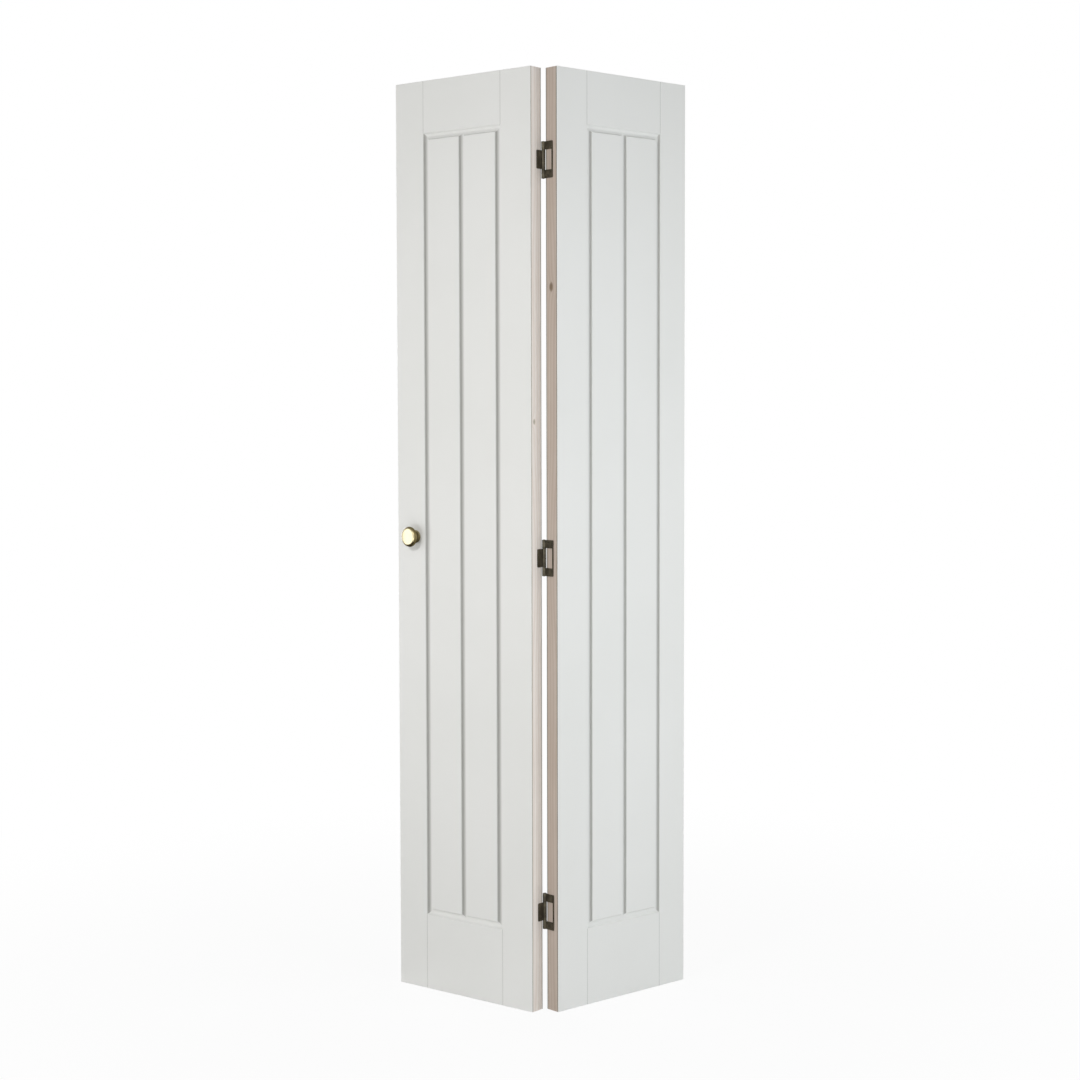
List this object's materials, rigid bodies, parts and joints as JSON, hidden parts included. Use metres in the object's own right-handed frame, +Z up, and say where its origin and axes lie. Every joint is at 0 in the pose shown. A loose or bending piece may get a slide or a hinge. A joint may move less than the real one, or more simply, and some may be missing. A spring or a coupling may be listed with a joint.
{
  "type": "bifold closet door",
  "caption": "Two-leaf bifold closet door with moulded plank panels, flush hinges and a round brass knob on the lead leaf, shown part folded.",
  "frame": {"origin": "middle of the part-folded door's footprint, on the floor", "axes": "+Z up, the moulded front and the fold towards -Y, the lead leaf with the knob on the -X side"},
  "size_m": [0.632, 0.2738, 1.981],
  "materials": {
    "painted_skin": "satin",
    "bare_pine": "matte",
    "honeycomb_paper": "matte",
    "fastener_steel": "satin",
    "hinge_bronze": "satin",
    "knob_brass": "polished"
  },
  "bodies": {
    "jamb_leaf": {"jamb_front_skin": "painted_skin", "jamb_back_skin": "painted_skin", "jamb_outer_stile": "bare_pine", "jamb_hinge_stile": "bare_pine", "jamb_top_rail": "bare_pine", "jamb_bottom_rail": "bare_pine", "jamb_honeycomb_core": "honeycomb_paper", "jamb_corner_fasteners": "fastener_steel", "jamb_top_outer_plate": "hinge_bronze", "jamb_top_pin": "hinge_bronze", "jamb_middle_outer_plate": "hinge_bronze", "jamb_middle_pin": "hinge_bronze", "jamb_low_outer_plate": "hinge_bronze", "jamb_low_pin": "hinge_bronze", "jamb_hinge_screws": "hinge_bronze"},
    "lead_leaf": {"lead_front_skin": "painted_skin", "lead_back_skin": "painted_skin", "lead_outer_stile": "bare_pine", "lead_hinge_stile": "bare_pine", "lead_top_rail": "bare_pine", "lead_bottom_rail": "bare_pine", "lead_honeycomb_core": "honeycomb_paper", "lead_corner_fasteners": "fastener_steel", "lead_lock_block": "bare_pine", "lead_top_inner_plate": "hinge_bronze", "lead_middle_inner_plate": "hinge_bronze", "lead_low_inner_plate": "hinge_bronze", "lead_hinge_screws": "hinge_bronze", "lead_knob_face": "knob_brass", "lead_knob_back": "knob_brass", "lead_knob_insert": "knob_brass", "lead_knob_bolt": "fastener_steel"}
  },
  "joints": [
    {"name": "leaf_fold", "type": "hinge", "parent": "jamb_leaf", "child": "lead_leaf", "pos_m": [0, -0.10652, 0], "axis": [0, 0, 1], "range_deg": [-98.8, 81.2]}
  ]
}
